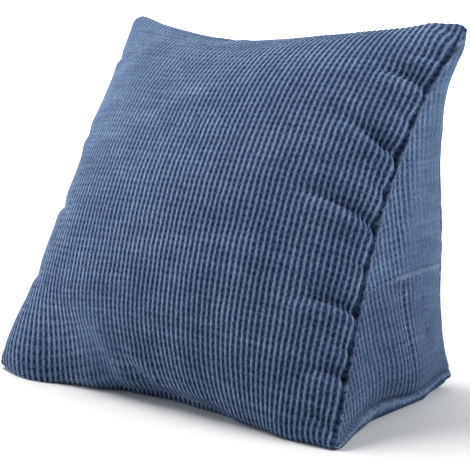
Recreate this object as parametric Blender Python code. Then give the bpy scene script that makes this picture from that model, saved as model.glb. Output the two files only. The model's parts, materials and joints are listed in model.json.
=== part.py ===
"""A wedge-shaped lumbar pillow in ribbed corduroy, with a flat pocket on its right side.

The cushion is one filled form sewn from five panels: a sloping front, a near-upright back, a base and two
triangular sides. Units are metres, Z is up, X runs across the pillow and its front faces -Y. The origin is at
the middle of the footprint, on the floor. Run it with: blender --background --python part.py
"""

import bmesh
import bpy
import numpy as np

# Driving dimensions, in metres
WIDTH = 0.45           # left to right, between the corner tips
DEPTH = 0.241          # front to back, between the corner tips of the base
HEIGHT = 0.387         # top corner tips above the floor
RIB_HEIGHT = 0.0015    # a rib's crest above the groove beside it

# Ribs of each panel, counted along its base; both panels' ribs are about 6.4 mm apart
FRONT_RIBS = 74
SIDE_RIBS = 36

# Corner tips: the ears that filling can't reach, a little above the floor
CORNERS = {
    # name: (x, y, z)
    "front_left": (-WIDTH / 2, -DEPTH / 2, 0.008),
    "front_right": (WIDTH / 2, -DEPTH / 2, 0.003),
    "back_left": (-WIDTH / 2, DEPTH / 2, 0.014),
    "back_right": (WIDTH / 2, DEPTH / 2, 0.017),
    "top_left": (-WIDTH / 2, DEPTH / 2 + 0.006, HEIGHT),
    "top_right": (WIDTH / 2, DEPTH / 2 - 0.002, HEIGHT - 0.001),
}

# Seams: each is drawn in from the straight line between its corners, most at its middle
SEAMS = {
    # name: (from corner, to corner, pull at the middle (x, y, z), power of the bow, S-bend (x, y, z))
    "front_left": ("front_left", "top_left", (0.0075, 0.005, -0.003), 0.97, (0.0, 0.0, 0.0)),
    "front_right": ("front_right", "top_right", (-0.0237, -0.0056, 0.0035), 0.97, (0.0, 0.0044, -0.0028)),
    "back_left": ("back_left", "top_left", (0.0160, -0.010, 0.0), 0.60, (0.0, 0.0, 0.0)),
    "back_right": ("back_right", "top_right", (-0.0190, -0.012, 0.0), 0.56, (0.0, 0.0, 0.0)),
    "top": ("top_left", "top_right", (0.0, -0.0196, -0.0210), 1.68, (0.0, 0.0031, -0.0058)),
    "base_front": ("front_left", "front_right", (0.0, 0.0220, 0.0078), 1.27, (0.0, 0.0, 0.0)),
    "base_back": ("back_left", "back_right", (0.0, -0.0120, 0.0), 1.20, (0.0, 0.0, 0.0)),
    "base_left": ("front_left", "back_left", (0.0120, 0.0, 0.0040), 0.90, (0.0, 0.0, 0.0)),
    "base_right": ("front_right", "back_right", (-0.0153, 0.0, 0.0061), 0.90, (0.0, 0.0, 0.0)),
}

# Crowns: how far each panel swells over its seams, and how it rounds off towards them
FRONT_SLOPE = np.array((0.0, -HEIGHT, DEPTH)) / np.hypot(HEIGHT, DEPTH)
BACKWARD = np.array((0.0, 1.0, 0.0))
CROWNS = {
    # panel: (swell, direction, power and rounding across, the same up, left bias, low bias, end bias)
    "front": (0.0807, FRONT_SLOPE, 2.35, 0.66, 1.67, 0.79, 0.09, 0.07, 0.69),
    "back": (0.0360, BACKWARD, 2.40, 0.62, 2.20, 0.64, 0.00, 0.30, 0.00),
}
SIDE_SWELL = 0.0187     # a side panel's swell at its foot, tapering to nothing at the top
SIDE_SWELL_BACK = 0.56  # share by which that swell leans to the back
SIDE_SWELL_FOOT = 0.15  # height share over which it grows from the base seam

# Creases pressed into the front where its filling is drawn to the seams, in shares of the panel
FRONT_CUT = np.array((0.472, 0.464))   # the front panel's cloth, across and up, in metres
CREASES = (
    # (u from, v from, u to, v to, depth, half width)
    (0.870, 0.832, 0.990, 0.840, 0.0030, 0.008),
    (0.870, 0.680, 0.990, 0.662, 0.0035, 0.008),
    (0.850, 0.488, 0.990, 0.488, 0.0040, 0.008),
    (0.850, 0.268, 0.990, 0.292, 0.0040, 0.008),
    (0.900, 0.118, 0.990, 0.124, 0.0025, 0.007),
    (0.010, 0.400, 0.150, 0.404, 0.0030, 0.008),
    (0.010, 0.205, 0.130, 0.200, 0.0025, 0.008),
    (0.380, 0.014, 0.520, 0.010, 0.0025, 0.006),
)

# Rows of points up each panel, as shares of its height; the seams are at 0 and 1
FRONT_ROWS = (
    0.012, 0.055, 0.121, 0.160, 0.203, 0.280, 0.330, 0.400, 0.450, 0.488, 0.530, 0.600, 0.672, 0.720, 0.780,
    0.836, 0.900, 0.985,
)
BACK_ROWS = (0.014, 0.09, 0.26, 0.48, 0.70, 0.90, 0.986)
HEM_TOP = 0.343
HEM_FOOT = 0.327
SIDE_ROWS = (0.014, 0.06, 0.12, 0.18, 0.25, HEM_FOOT, HEM_TOP, 0.41, 0.49, 0.57, 0.65, 0.74, 0.83, 0.92)

# The base rolls from its seams down to a flat patch on the floor
BASE_RINGS = (
    # (inset at the corners, inset at the middle of each side, share of height kept, points along X, along Y)
    (0.0020, -0.0020, 0.50, 60, 28),
    (0.0090, 0.0050, 0.12, 36, 16),
    (0.0260, 0.0200, 0.0, 20, 10),
)

# The pocket: one layer of the same corduroy over the foot of the right side panel
CLOTH = 0.0012
CLEARANCE = 0.0004
HEM_FULLNESS = 0.0009
POCKET_MARGIN = 0.010   # share of the height between the pocket's edges and the seams that catch them

COLOUR = (0.105, 0.155, 0.270, 1.0)   # dusty blue

DENSE = 161             # points across a crowned panel when its cloth is measured
END_GAP = 0.021         # least share of height between a row and the end of its line on a side panel
STEP = 0.002            # share of a panel between the points that give its slope


def bow(t, power):
    """0 at both ends and 1 at the middle."""
    return np.clip(np.sin(np.pi * np.clip(t, 0.0, 1.0)), 0.0, 1.0) ** power


def dome(t, power, rounding):
    """Like bow, with a flatter middle and steeper ends."""
    return np.clip(1.0 - np.abs(2.0 * t - 1.0) ** power, 0.0, 1.0) ** rounding


def seam(name, t):
    """Points along a seam, t from 0 to 1."""
    start, end, pull, power, bend = SEAMS[name]
    start, end = np.array(CORNERS[start]), np.array(CORNERS[end])
    t = np.asarray(t, float)[..., None]
    line = start + (end - start) * t
    return line + np.array(pull) * bow(t, power) + np.array(bend) * np.sin(2.0 * np.pi * t)


def patch(left, right, low, high, u, v):
    """A surface through four seams, bilinearly blended, at every pair of u and v."""
    u, v = np.asarray(u)[:, None, None], np.asarray(v)[None, :, None]
    across = (1 - u) * left[None] + u * right[None]
    upward = (1 - v) * low[:, None] + v * high[:, None]
    flat = (1 - u) * (1 - v) * low[0] + u * (1 - v) * low[-1] + (1 - u) * v * high[0] + u * v * high[-1]
    return across + upward - flat


def crown(name, u, v):
    """How far a panel stands off its seams, at every pair of u and v."""
    swell, direction, power_u, round_u, power_v, round_v, left_bias, low_bias, end_bias = CROWNS[name]
    u, fall = np.asarray(u), 1.0 - 2.0 * np.asarray(v)
    across = dome(u, power_u, round_u) * (1.0 + left_bias * (1.0 - 2.0 * u))
    upward = dome(np.asarray(v), power_v, round_v) * (1.0 + low_bias * fall + end_bias * fall * fall)
    return swell * across[:, None, None] * upward[None, :, None] * direction


def crowned_panel(name, u, v):
    """The front or back panel, with its cloth spread evenly from side to side in every row."""
    u, v = np.clip(u, 0.0, 1.0), np.clip(v, 0.0, 1.0)
    even = np.linspace(0.0, 1.0, DENSE)
    dense = 0.3 * even + 0.7 * (0.5 - 0.5 * np.cos(np.pi * even))
    low = "base_front" if name == "front" else "base_back"
    left, right = seam(name + "_left", v), seam(name + "_right", v)
    rows = patch(left, right, seam(low, dense), seam("top", dense), dense, v) + crown(name, dense, v)
    arc = np.zeros(rows.shape[:2])
    arc[1:] = np.cumsum(np.linalg.norm(np.diff(rows, axis=0), axis=2), axis=0)
    panel = np.empty((len(u), len(v), 3))
    for j in range(len(v)):
        for k in range(3):
            panel[:, j, k] = np.interp(u * arc[-1, j], arc[:, j], rows[:, j, k])
    return panel


def side_panel(side, q, v):
    """Points of a side panel; q runs from the back seam to the front seam, v from the base up."""
    q, v = np.clip(q, 0.0, 1.0), np.clip(v, 0.0, 1.0)
    back, front = seam("back_" + side, v), seam("front_" + side, v)
    points = back + (front - back) * q[..., None]
    foot = seam("back_" + side, 0.0) + (seam("front_" + side, 0.0) - seam("back_" + side, 0.0)) * q[..., None]
    points = points + (seam("base_" + side, 1.0 - q) - foot) * ((1.0 - v) ** 2)[..., None]
    rise = np.clip(v / SIDE_SWELL_FOOT, 0.0, 1.0)
    lean = 1.0 + SIDE_SWELL_BACK * (1.0 - 2.0 * q)
    swell = SIDE_SWELL * dome(q, 2.0, 1.0) * lean * rise * (2.0 - rise) * (1.0 - v)
    outward = 1.0 if side == "right" else -1.0
    points[..., 0] += outward * swell
    return points


def unit(vectors):
    return vectors / np.maximum(np.linalg.norm(vectors, axis=-1, keepdims=True), 1e-12)


def panel_normals(name, u, v):
    across = crowned_panel(name, u + STEP, v) - crowned_panel(name, u - STEP, v)
    upward = crowned_panel(name, u, v + STEP) - crowned_panel(name, u, v - STEP)
    outward = 1.0 if name == "front" else -1.0
    return outward * unit(np.cross(across, upward))


def side_normals(side, q, v):
    across = side_panel(side, q + STEP, v) - side_panel(side, q - STEP, v)
    upward = side_panel(side, q, v + STEP) - side_panel(side, q, v - STEP)
    outward = -1.0 if side == "right" else 1.0
    return outward * unit(np.cross(across, upward))


def crest(index):
    """1 on a rib's crest and 0 in a groove: points alternate along a row."""
    return np.asarray(index) % 2


def crease_depth(u, v):
    """How deep the creases press into the front at every pair of u and v."""
    depth = np.zeros((len(u), len(v)))
    place = np.stack(np.meshgrid(u, v, indexing="ij"), axis=-1) * FRONT_CUT
    for u0, v0, u1, v1, deepest, half_width in CREASES:
        start, end = np.array((u0, v0)) * FRONT_CUT, np.array((u1, v1)) * FRONT_CUT
        along = np.clip(((place - start) @ (end - start)) / ((end - start) @ (end - start)), 0.0, 1.0)
        away = np.linalg.norm(place - start - along[..., None] * (end - start), axis=-1)
        depth += deepest * np.exp(-((away / half_width) ** 2)) * np.sin(np.pi * (0.15 + 0.7 * along))
    return depth


class Shell:
    """Points and triangles of one solid."""

    def __init__(self):
        self.points = []
        self.faces = []

    def add(self, points):
        """Adds points and returns their numbers, in the same order."""
        first = len(self.points)
        self.points.extend(np.asarray(points, float).reshape(-1, 3).tolist())
        return list(range(first, len(self.points)))

    def strip(self, line_a, at_a, line_b, at_b):
        """Triangles between two lines of points that run the same way, in step with their shares."""
        i = j = 0
        while i < len(line_a) - 1 or j < len(line_b) - 1:
            if j == len(line_b) - 1 or (i < len(line_a) - 1 and at_a[i + 1] <= at_b[j + 1]):
                self.faces.append((line_a[i], line_a[i + 1], line_b[j]))
                i += 1
            else:
                self.faces.append((line_a[i], line_b[j + 1], line_b[j]))
                j += 1


def seam_points(shell):
    """Adds the corner tips and the points of every seam, shared by the panels on both sides of it."""
    tips = {name: shell.add([tip])[0] for name, tip in CORNERS.items()}
    shares = {}
    across = np.arange(2 * FRONT_RIBS + 1) / (2 * FRONT_RIBS)
    foot = np.arange(2 * SIDE_RIBS + 1) / (2 * SIDE_RIBS)
    upright = np.concatenate(((0.0,), SIDE_ROWS, (1.0,)))
    for name in SEAMS:
        if name in ("top", "base_front", "base_back"):
            shares[name] = across
        elif name.startswith("back"):
            shares[name] = upright
        else:
            shares[name] = foot
    lines = {}
    for name, share in shares.items():
        start, end = SEAMS[name][:2]
        lines[name] = [tips[start]] + shell.add(seam(name, share[1:-1])) + [tips[end]]
    return lines, shares


def add_crowned_panel(shell, name, rows, lines, shares):
    """The front or back panel, ribbed from its base seam to the top seam."""
    rows = np.array(rows)
    low = "base_front" if name == "front" else "base_back"
    u = shares[low]
    grid = crowned_panel(name, u, rows)
    fade = np.clip(np.minimum(rows, 1.0 - rows) / 0.03, 0.3, 1.0)
    height = RIB_HEIGHT * crest(np.arange(len(u)))[:, None] * fade[None, :]
    if name == "front":
        height = height - crease_depth(u, rows)
    grid = grid + panel_normals(name, u, rows) * height[..., None]
    at = np.concatenate(((0.0,), rows, (1.0,)))
    columns = [lines[name + "_left"]]
    places = [shares[name + "_left"]]
    for i in range(1, len(u) - 1):
        columns.append([lines[low][i]] + shell.add(grid[i]) + [lines["top"][i]])
        places.append(at)
    columns.append(lines[name + "_right"])
    places.append(shares[name + "_right"])
    for i in range(len(columns) - 1):
        shell.strip(columns[i], places[i], columns[i + 1], places[i + 1])


def side_column(low, high):
    """The rows between low and high on one upright line of points, leaving out any too near its ends."""
    return np.array([v for v in SIDE_ROWS if low + END_GAP / 2 < v < high - END_GAP])


def add_side_panel(shell, side, lines, shares):
    """A triangular side panel; its ribs stand upright and end on the sloping front seam."""
    last = 2 * SIDE_RIBS
    columns = [lines["back_" + side]]
    places = [shares["back_" + side]]
    for j in range(1, last):
        top = 1.0 - j / last
        rows = side_column(0.0, top)
        q = (j / last) / (1.0 - rows)
        ribs = RIB_HEIGHT * crest(j)
        points = side_panel(side, q, rows) + side_normals(side, q, rows) * ribs
        foot = lines["base_" + side][last - j]
        head = lines["front_" + side][last - j]
        columns.append([foot] + (shell.add(points) if len(rows) else []) + [head])
        places.append(np.concatenate(((0.0,), rows, (top,))))
    columns.append([lines["front_" + side][0]])
    places.append(np.array((0.0,)))
    for j in range(last):
        shell.strip(columns[j], places[j], columns[j + 1], places[j + 1])


def base_loop(corner_inset, middle_inset, kept, count_x, count_y):
    """One closed line of points round the base, inset from its seams; its shares run 0 to 4, a side each."""
    x, y = np.arange(count_x) / count_x, np.arange(count_y) / count_y
    u = np.concatenate((x, np.ones(count_y), 1.0 - x, np.zeros(count_y)))
    w = np.concatenate((np.zeros(count_x), y, np.ones(count_x), 1.0 - y))
    shares = np.concatenate((x, 1.0 + y, 2.0 + x, 3.0 + y))
    a = (corner_inset + (middle_inset - corner_inset) * bow(w, 0.5)) / WIDTH
    b = (corner_inset + (middle_inset - corner_inset) * bow(u, 0.5)) / DEPTH
    inner_u, inner_w = a + (1.0 - 2.0 * a) * u, b + (1.0 - 2.0 * b) * w
    front, back = seam("base_front", inner_u), seam("base_back", inner_u)
    left, right = seam("base_left", inner_w), seam("base_right", inner_w)
    inner_u, inner_w = inner_u[:, None], inner_w[:, None]
    tips = [np.array(CORNERS[name]) for name in ("front_left", "front_right", "back_left", "back_right")]
    flat = (1 - inner_w) * ((1 - inner_u) * tips[0] + inner_u * tips[1])
    flat = flat + inner_w * ((1 - inner_u) * tips[2] + inner_u * tips[3])
    points = (1 - inner_w) * front + inner_w * back + (1 - inner_u) * left + inner_u * right - flat
    points[:, 2] = np.maximum(points[:, 2] * kept, 0.0)
    return points, shares


def add_base(shell, lines):
    """The base panel: it rolls under from its seams to a flat patch that stands on the floor."""
    outer = lines["base_front"][:-1] + lines["base_right"][:-1]
    outer = outer + lines["base_back"][:0:-1] + lines["base_left"][:0:-1]
    across = np.arange(2 * FRONT_RIBS) / (2 * FRONT_RIBS)
    foot = np.arange(2 * SIDE_RIBS) / (2 * SIDE_RIBS)
    shares = np.concatenate((across, 1.0 + foot, 2.0 + across, 3.0 + foot))
    for ring in BASE_RINGS:
        points, inner_shares = base_loop(*ring)
        inner = shell.add(points)
        shell.strip(
            outer + outer[:1], np.append(shares, 4.0), inner + inner[:1], np.append(inner_shares, 4.0)
        )
        outer, shares = inner, inner_shares
    shell.faces.append(tuple(outer))


def cushion_shell():
    shell = Shell()
    lines, shares = seam_points(shell)
    add_crowned_panel(shell, "front", FRONT_ROWS, lines, shares)
    add_crowned_panel(shell, "back", BACK_ROWS, lines, shares)
    add_side_panel(shell, "left", lines, shares)
    add_side_panel(shell, "right", lines, shares)
    add_base(shell, lines)
    return shell


def pocket_shell():
    """The side pocket: a ribbed sheet over the foot of the right side panel, its top edge a plain hem."""
    shell = Shell()
    last = 2 * SIDE_RIBS
    lift = RIB_HEIGHT + CLEARANCE
    layers = {"inner": [], "outer": []}
    places = []
    for j in range(1, last):
        high = min(HEM_TOP, 1.0 - j / last - POCKET_MARGIN)
        low = POCKET_MARGIN
        if high - low < POCKET_MARGIN:
            break
        rows = np.concatenate(((low,), side_column(low, high), (high,)))
        q = (j / last) / (1.0 - rows)
        surface, normals = side_panel("right", q, rows), side_normals("right", q, rows)
        in_hem = rows > HEM_FOOT + 1e-6
        raised = np.where(in_hem, HEM_FULLNESS, RIB_HEIGHT * crest(j))
        layers["inner"].append(shell.add(surface + normals * lift))
        layers["outer"].append(shell.add(surface + normals * (lift + CLOTH + raised)[:, None]))
        places.append(rows)
    for columns in layers.values():
        for j in range(len(columns) - 1):
            shell.strip(columns[j], places[j], columns[j + 1], places[j + 1])
    rims = []
    for columns in (layers["inner"], layers["outer"]):
        foot = [column[0] for column in columns]
        head = [column[-1] for column in columns]
        rims.append(foot + columns[-1][1:-1] + head[::-1] + columns[0][-2:0:-1])
    steps = np.arange(len(rims[0]) + 1)
    shell.strip(rims[0] + rims[0][:1], steps, rims[1] + rims[1][:1], steps)
    return shell


def corduroy(name):
    material = bpy.data.materials.new(name)
    material.use_nodes = True
    shader = material.node_tree.nodes["Principled BSDF"]
    shader.inputs["Base Color"].default_value = COLOUR
    shader.inputs["Roughness"].default_value = 0.85
    shader.inputs["Metallic"].default_value = 0.0
    material.diffuse_color = COLOUR
    return material


def make_object(name, shell, shift, material, collection):
    mesh = bpy.data.meshes.new(name)
    mesh.from_pydata((np.array(shell.points) + shift).tolist(), [], shell.faces)
    solid = bmesh.new()
    solid.from_mesh(mesh)
    bmesh.ops.recalc_face_normals(solid, faces=solid.faces)
    solid.to_mesh(mesh)
    solid.free()
    mesh.shade_smooth()
    mesh.materials.append(material)
    thing = bpy.data.objects.new(name, mesh)
    collection.objects.link(thing)
    return thing


def main():
    for thing in list(bpy.data.objects):
        bpy.data.objects.remove(thing, do_unlink=True)
    collection = bpy.data.collections.new("lumbar_pillow")
    bpy.context.scene.collection.children.link(collection)
    cushion, pocket = cushion_shell(), pocket_shell()
    everything = np.array(cushion.points + pocket.points)
    middle = (everything.min(axis=0) + everything.max(axis=0)) / 2.0
    shift = np.array((-middle[0], -middle[1], 0.0))
    make_object("cushion", cushion, shift, corduroy("corduroy"), collection)
    make_object("side_pocket", pocket, shift, corduroy("pocket_corduroy"), collection)


main()
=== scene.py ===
"""Looks of the wedge lumbar pillow: ribbed corduroy over a soft filling, and a flat pocket on its right side.

The cloth follows the solids' seams and crowns at a finer pitch; ribs, creases, gathers and sunken seams are
geometry. Units are metres, Z is up, and the sloping front faces -Y.
"""

import json

import bmesh
import bpy
import numpy as np
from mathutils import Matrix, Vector

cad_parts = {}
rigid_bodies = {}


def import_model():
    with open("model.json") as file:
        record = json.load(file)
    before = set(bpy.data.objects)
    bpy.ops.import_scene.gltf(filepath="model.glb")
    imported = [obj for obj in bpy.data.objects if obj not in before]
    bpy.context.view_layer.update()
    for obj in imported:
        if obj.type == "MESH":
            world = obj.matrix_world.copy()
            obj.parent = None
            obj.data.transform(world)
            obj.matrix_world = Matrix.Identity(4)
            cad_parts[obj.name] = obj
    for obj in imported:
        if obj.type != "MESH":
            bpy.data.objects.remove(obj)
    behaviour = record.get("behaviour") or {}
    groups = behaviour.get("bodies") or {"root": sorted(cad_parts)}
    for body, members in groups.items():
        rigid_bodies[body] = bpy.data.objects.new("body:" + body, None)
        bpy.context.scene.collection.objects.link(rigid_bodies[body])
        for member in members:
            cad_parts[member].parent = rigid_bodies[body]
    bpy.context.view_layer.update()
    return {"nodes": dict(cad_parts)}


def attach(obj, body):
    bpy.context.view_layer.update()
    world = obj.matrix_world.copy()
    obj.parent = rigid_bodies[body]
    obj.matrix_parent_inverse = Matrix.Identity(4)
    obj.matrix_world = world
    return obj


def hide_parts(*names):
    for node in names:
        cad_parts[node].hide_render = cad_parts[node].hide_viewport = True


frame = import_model()

# The pillow's own sizes, as in its solids
WIDTH = 0.45
DEPTH = 0.241
HEIGHT = 0.387
FRONT_RIBS = 74
SIDE_RIBS = 36
FRONT_SLOPE = np.array((0.0, -HEIGHT, DEPTH)) / np.hypot(HEIGHT, DEPTH)
FRONT_SLANT = DEPTH / np.hypot(DEPTH, HEIGHT)  # distance to the front seam for each metre below it
BACKWARD = np.array((0.0, 1.0, 0.0))

CORNERS = {
    # name: (x, y, z)
    "front_left": (-WIDTH / 2, -DEPTH / 2, 0.008),
    "front_right": (WIDTH / 2, -DEPTH / 2, 0.003),
    "back_left": (-WIDTH / 2, DEPTH / 2, 0.014),
    "back_right": (WIDTH / 2, DEPTH / 2, 0.017),
    "top_left": (-WIDTH / 2, DEPTH / 2 + 0.006, HEIGHT),
    "top_right": (WIDTH / 2, DEPTH / 2 - 0.002, HEIGHT - 0.001),
}
SEAMS = {
    # name: (from corner, to corner, pull at the middle (x, y, z), power of the bow, S-bend (x, y, z) if any)
    "front_left": ("front_left", "top_left", (0.0075, 0.005, -0.003), 0.97),
    "front_right": ("front_right", "top_right", (-0.0237, -0.0056, 0.0035), 0.97, (0.0, 0.0044, -0.0028)),
    "back_left": ("back_left", "top_left", (0.016, -0.01, 0.0), 0.6),
    "back_right": ("back_right", "top_right", (-0.019, -0.012, 0.0), 0.56),
    "top": ("top_left", "top_right", (0.0, -0.0196, -0.021), 1.68, (0.0, 0.0031, -0.0058)),
    "base_front": ("front_left", "front_right", (0.0, 0.022, 0.0078), 1.27),
    "base_back": ("back_left", "back_right", (0.0, -0.012, 0.0), 1.2),
    "base_left": ("front_left", "back_left", (0.012, 0.0, 0.004), 0.9),
    "base_right": ("front_right", "back_right", (-0.0153, 0.0, 0.0061), 0.9),
}
CROWNS = {
    # panel: (swell, direction, power and rounding across, the same up, left bias, low bias, end bias)
    "front": (0.0807, FRONT_SLOPE, 2.35, 0.66, 1.67, 0.79, 0.09, 0.07, 0.69),
    "back": (0.036, BACKWARD, 2.4, 0.62, 2.2, 0.64, 0.0, 0.3, 0.0),
}
OUTWARD = {
    # the way each panel faces
    "front": FRONT_SLOPE,
    "back": BACKWARD,
    "left": np.array((-1.0, 0.0, 0.0)),
    "right": np.array((1.0, 0.0, 0.0)),
    "base": np.array((0.0, 0.0, -1.0)),
}
SIDE_SWELL = 0.0187  # a side panel's swell at its foot
SIDE_SWELL_BACK = 0.56  # share by which that swell leans to the back
SIDE_SWELL_FOOT = 0.15  # share of the height over which it grows from the base seam
HEM_TOP = 0.343  # the pocket's top edge, as a share of the height
HEM_FOOT = 0.327  # the lower edge of its hem

# The cloth, as it was cut
FRONT_CUT = (0.472, 0.464)  # the front and back panels, across and up
SIDE_CUT = 0.2285  # a side panel along its foot
KERNELS_UP = 64  # rungs across the grooves, counted up the front
KERNEL = FRONT_CUT[1] / KERNELS_UP
RIB_HEIGHT = 0.0016
RUNG = 0.22  # height of the rungs between the ribs, as a share of the ribs
RUNG_SHADE = (0.32, 0.36)  # how light they are, as a share of the ribs, and what taut cloth adds
BEAD = 0.1  # how much lower a rib is where a rung meets it
FINE_RIB = ((0.0, 0.0), (0.26, 0.58), (0.5, 1.0), (0.74, 0.58))  # (share of the pitch, height)
PLAIN_RIB = ((0.0, 0.0), (0.33, 0.85), (0.5, 1.0), (0.67, 0.85))
COARSE_RIB = ((0.0, 0.0), (0.36, 1.0), (0.64, 1.0))
SIDE_LEAN = 0.34  # how much further apart a side panel's ribs would be at the top than at the foot
SWAY = 0.0006  # how far a rib wanders to either side
SWAY_PITCH = 0.019  # distance between its bends
SWAY_FROM = 0.01  # distance from the seams at which that is full

# Relief of the filled cloth
NOISE_CELLS = 64  # uneven forms repeat after so many of their own sizes
LUMP = 0.0014  # hills and hollows of the filling
LUMP_SIZES = ((0.075, 1.0), (0.03, 0.4))  # (distance between them, share of LUMP)
LUMP_FROM = 0.045  # distance from the seams at which they are full
SEWN = {
    # seam: (first panel, second panel, drawn in beside it: depth on each, distance and half width,
    #        ridge along it, gathers beside it: height, pitch and reach)
    "front_left": ("front", "left", 0.0030, 0.0030, 0.0, 0.0045, 0.0, 0.0010, 0.022, 0.020),
    "front_right": ("front", "right", 0.0044, 0.0010, 0.0042, 0.0022, 0.0028, 0.0014, 0.010, 0.012),
    "back_left": ("back", "left", 0.0030, 0.0030, 0.0, 0.0045, 0.0, 0.0012, 0.020, 0.018),
    "back_right": ("back", "right", 0.0020, 0.0020, 0.0, 0.0040, 0.0, 0.0006, 0.024, 0.018),
    "top": ("front", "back", 0.0020, 0.0020, 0.0, 0.0040, 0.0, 0.0004, 0.024, 0.016),
    "base_front": ("front", "base", 0.0020, 0.0020, 0.0, 0.0050, 0.0, 0.0008, 0.022, 0.018),
    "base_back": ("back", "base", 0.0040, 0.0040, 0.0, 0.0060, 0.0, 0.0012, 0.022, 0.018),
    "base_left": ("left", "base", 0.0022, 0.0008, 0.0038, 0.0024, 0.0010, 0.0010, 0.015, 0.012),
    "base_right": ("right", "base", 0.0024, 0.0020, 0.0034, 0.0018, 0.0013, 0.0008, 0.013, 0.012),
}
SEAM_FADE = 0.03  # from a corner tip to where its seams have their full depth
GATHER_FROM = 0.0045  # distance from a seam at which its gathers begin
RIDGE_HALF = 0.0019  # half width of the ridge of turned-in cloth under a seam
RIDGE_LUMPS = 1.0  # how uneven it is, as a share of its height
RIDGE_PITCH = 0.0048  # distance between its lumps
RIDGE_SEED = 40
PAINTED_RIDGE_LIGHT = 0.0026  # how far from it the side panel is painted light, showing no grooves
LIT_CRUMBS = (0.75, 1.5, 0.0046)  # patches of painted light on the ridge's lumps of pile: how many, how uneven, distance between them
PAINTED_CRUMB_LIGHT = 0.95  # how light they are painted, as a share of a rib
SHADE_PATCHES = (0.85, 1.2, 0.011)  # patches of painted shade beside it, in the same terms
SHADE_PATCH_RIBS = 0.6  # they reach over so many of the front's last ribs
FULL_SHADE_RIBS = 0.4  # and over so many the painted shade is unbroken
BASE_PAINTED_SHADE = (1.0, 0.68)  # painted shade on the base's last ribs beside the right-hand seam, under its welt: how many ribs, by what share
EDGE_RIBS = {"front": 0.7, "back": 0.5, "side": 0.80}  # share of a rib's height left at a seam
EDGE_RIB_REACH = 0.008  # distance from the seam over which it grows back
SIDE_RIB_SHARE = 0.59  # a side panel's cloth is stretched, so its ribs are lower than the front's
PLAIN_BACK = (0.82, 0.5, 0.1)  # and lower again near its back edge: share lost, as far as, fading over
PLAIN_TO = (0.34, 0.25)  # the furthest that this reaches: above the pocket, on it
FULL_RIBS = (0.25, 0.365, 0.04)  # they are fuller where the folds are: by what share, at, half width
TAUT = (
    # where the front is stretched and its ribs stand lower: (share lost, u, v, reach of each)
    (0.48, 0.1, 0.72, 0.42, 0.42),
    (0.55, 0.0, 0.95, 0.13, 0.3),
    (0.5, 0.31, 0.07, 0.1, 0.1),
)
TIP_PULL = (0.0042, 0.006)  # a corner's tip is drawn in: how far, reach
EAR_SWELL = (0.0018, 0.015, 0.008)  # below the top tips the cloth stands out: how far, how far below, reach
MIDDLE = np.array((0.0, 0.0, 0.15))  # the point that the tips are drawn towards

# Where the filling pushes the whole cloth out, or leaves it slack
NUDGES = (
    # (x, y, z of the middle, x, y, z of the push there, reach)
    (-0.195, -0.115, 0.035, 0.0, -0.0115, -0.004, 0.04),
    (-0.15, -0.13, 0.06, 0.0095, 0.0025, -0.01, 0.045),
    (-0.095, -0.135, 0.05, 0.01, 0.001, 0.0015, 0.045),
    (-0.03, -0.135, 0.05, 0.006, -0.0015, -0.0055, 0.045),
    (0.04, -0.135, 0.05, 0.0035, -0.003, -0.003, 0.045),
    (0.11, -0.13, 0.05, 0.0015, -0.0015, -0.005, 0.045),
    (-0.13, -0.11, 0.13, 0.0025, -0.001, -0.0095, 0.055),
    (-0.05, -0.115, 0.14, 0.0015, 0.0, -0.007, 0.06),
    (0.05, -0.115, 0.14, 0.0, -0.002, -0.0065, 0.06),
    (-0.17, -0.12, 0.008, 0.013, -0.01, -0.0155, 0.035),
    (-0.105, -0.112, 0.008, 0.015, -0.01, -0.0135, 0.035),
    (-0.04, -0.1, 0.008, 0.0085, -0.0045, -0.0055, 0.035),
    (0.03, -0.098, 0.008, 0.011, -0.0065, -0.0025, 0.035),
    (0.1, -0.106, 0.008, 0.009, -0.003, -0.0125, 0.035),
    (0.165, -0.112, 0.008, 0.0, -0.006, -0.011, 0.035),
    (0.212, 0.044, 0.014, 0.0085, 0.0, -0.0075, 0.042),
    (0.222, 0.118, 0.38, 0.001, 0.004, 0.0025, 0.032),
    (0.226, 0.122, 0.386, -0.0055, 0.013, 0.0, 0.022),
    (-0.225, -0.062, 0.085, 0.0045, 0.001, 0.0, 0.034),
    (-0.218, 0.034, 0.252, -0.0055, 0.0, 0.0, 0.03),
    (0.205, 0.11, 0.17, 0.004, 0.003, 0.0, 0.06),
    (-0.2, 0.124, 0.38, 0.0, 0.0, 0.003, 0.016),
    (0.11, 0.105, 0.372, 0.0, 0.0, -0.0022, 0.06),
    (0.21, 0.112, 0.133, 0.0, 0.0, -0.0045, 0.036),
    (0.224, 0.12, 0.358, 0.008, 0.0, 0.0, 0.028),
    (0.228, 0.134, 0.388, -0.0038, -0.002, -0.0095, 0.011),
    (0.19, 0.116, 0.38, 0.0, 0.0, 0.0045, 0.02),
    (-0.224, -0.133, 0.003, 0.003, 0.001, 0.0035, 0.014),
)

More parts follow.
